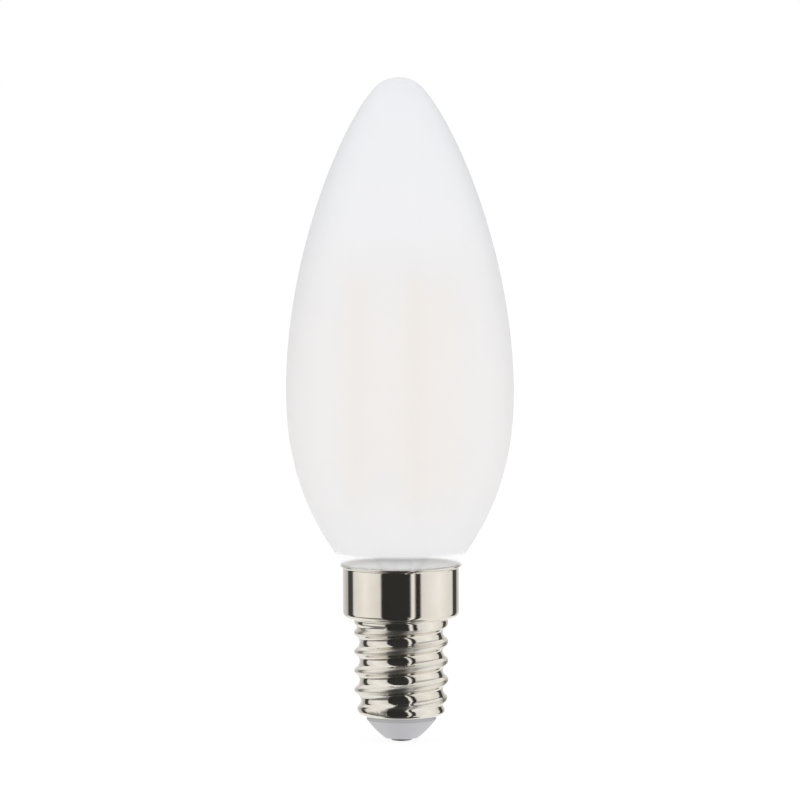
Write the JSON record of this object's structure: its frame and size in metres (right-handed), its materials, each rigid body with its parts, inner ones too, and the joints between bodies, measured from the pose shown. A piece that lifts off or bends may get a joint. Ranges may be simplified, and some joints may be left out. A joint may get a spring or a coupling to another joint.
{
  "type": "candle bulb",
  "caption": "Frosted candle-shaped LED filament bulb with a small Edison screw cap, wide plain skirt and clear glass neck, standing on its contact.",
  "frame": {"origin": "Centre of the flat underside of the centre contact.", "axes": "+Z runs along the bulb's axis to the glass tip. +X is to the right and -Y towards the viewer of the picture; the bulb is round about Z apart from its thread and its inside."},
  "size_m": [0.0334, 0.0334, 0.0976],
  "materials": {
    "frosted_glass": "inside-frosted white glass, clear below the frosting's edge at the neck",
    "clear_glass": "clear",
    "nickel_plate": "bright nickel plate on brass sheet",
    "insulator_grey": "satin",
    "contact_metal": "dull",
    "cement": "matt, cast",
    "phosphor_coat": "soft silicone with phosphor",
    "wire_metal": "drawn wire",
    "board_laminate": "solder mask",
    "chip_black": "moulded",
    "can_sleeve": "shrunk sleeve",
    "resistor_enamel": "enamel",
    "wire_cover": "smooth"
  },
  "bodies": {
    "root": {"bleed_resistor": "chip_black", "bottom_link_left": "wire_metal", "bottom_link_right": "wire_metal", "bridge_rectifier": "chip_black", "cap_insulator": "insulator_grey", "cap_shell": "nickel_plate", "capping_cement": "cement", "contact_rivet": "contact_metal", "driver_board": "board_laminate", "driver_chip": "chip_black", "exhaust_tube": "clear_glass", "filament_tabs_1": "wire_metal", "filament_tabs_2": "wire_metal", "filament_tabs_3": "wire_metal", "filament_tabs_4": "wire_metal", "fusible_resistor": "resistor_enamel", "glass_envelope": "frosted_glass", "glass_stem": "clear_glass", "lead_wire_left": "wire_metal", "lead_wire_right": "wire_metal", "led_filament_1": "phosphor_coat", "led_filament_2": "phosphor_coat", "led_filament_3": "phosphor_coat", "led_filament_4": "phosphor_coat", "neutral_lead": "wire_cover", "sense_resistor": "chip_black", "smoothing_capacitor": "can_sleeve", "support_pillar": "clear_glass", "top_anchor_wire": "wire_metal", "top_link_back": "wire_metal", "top_link_front": "wire_metal"}
  },
  "joints": []
}
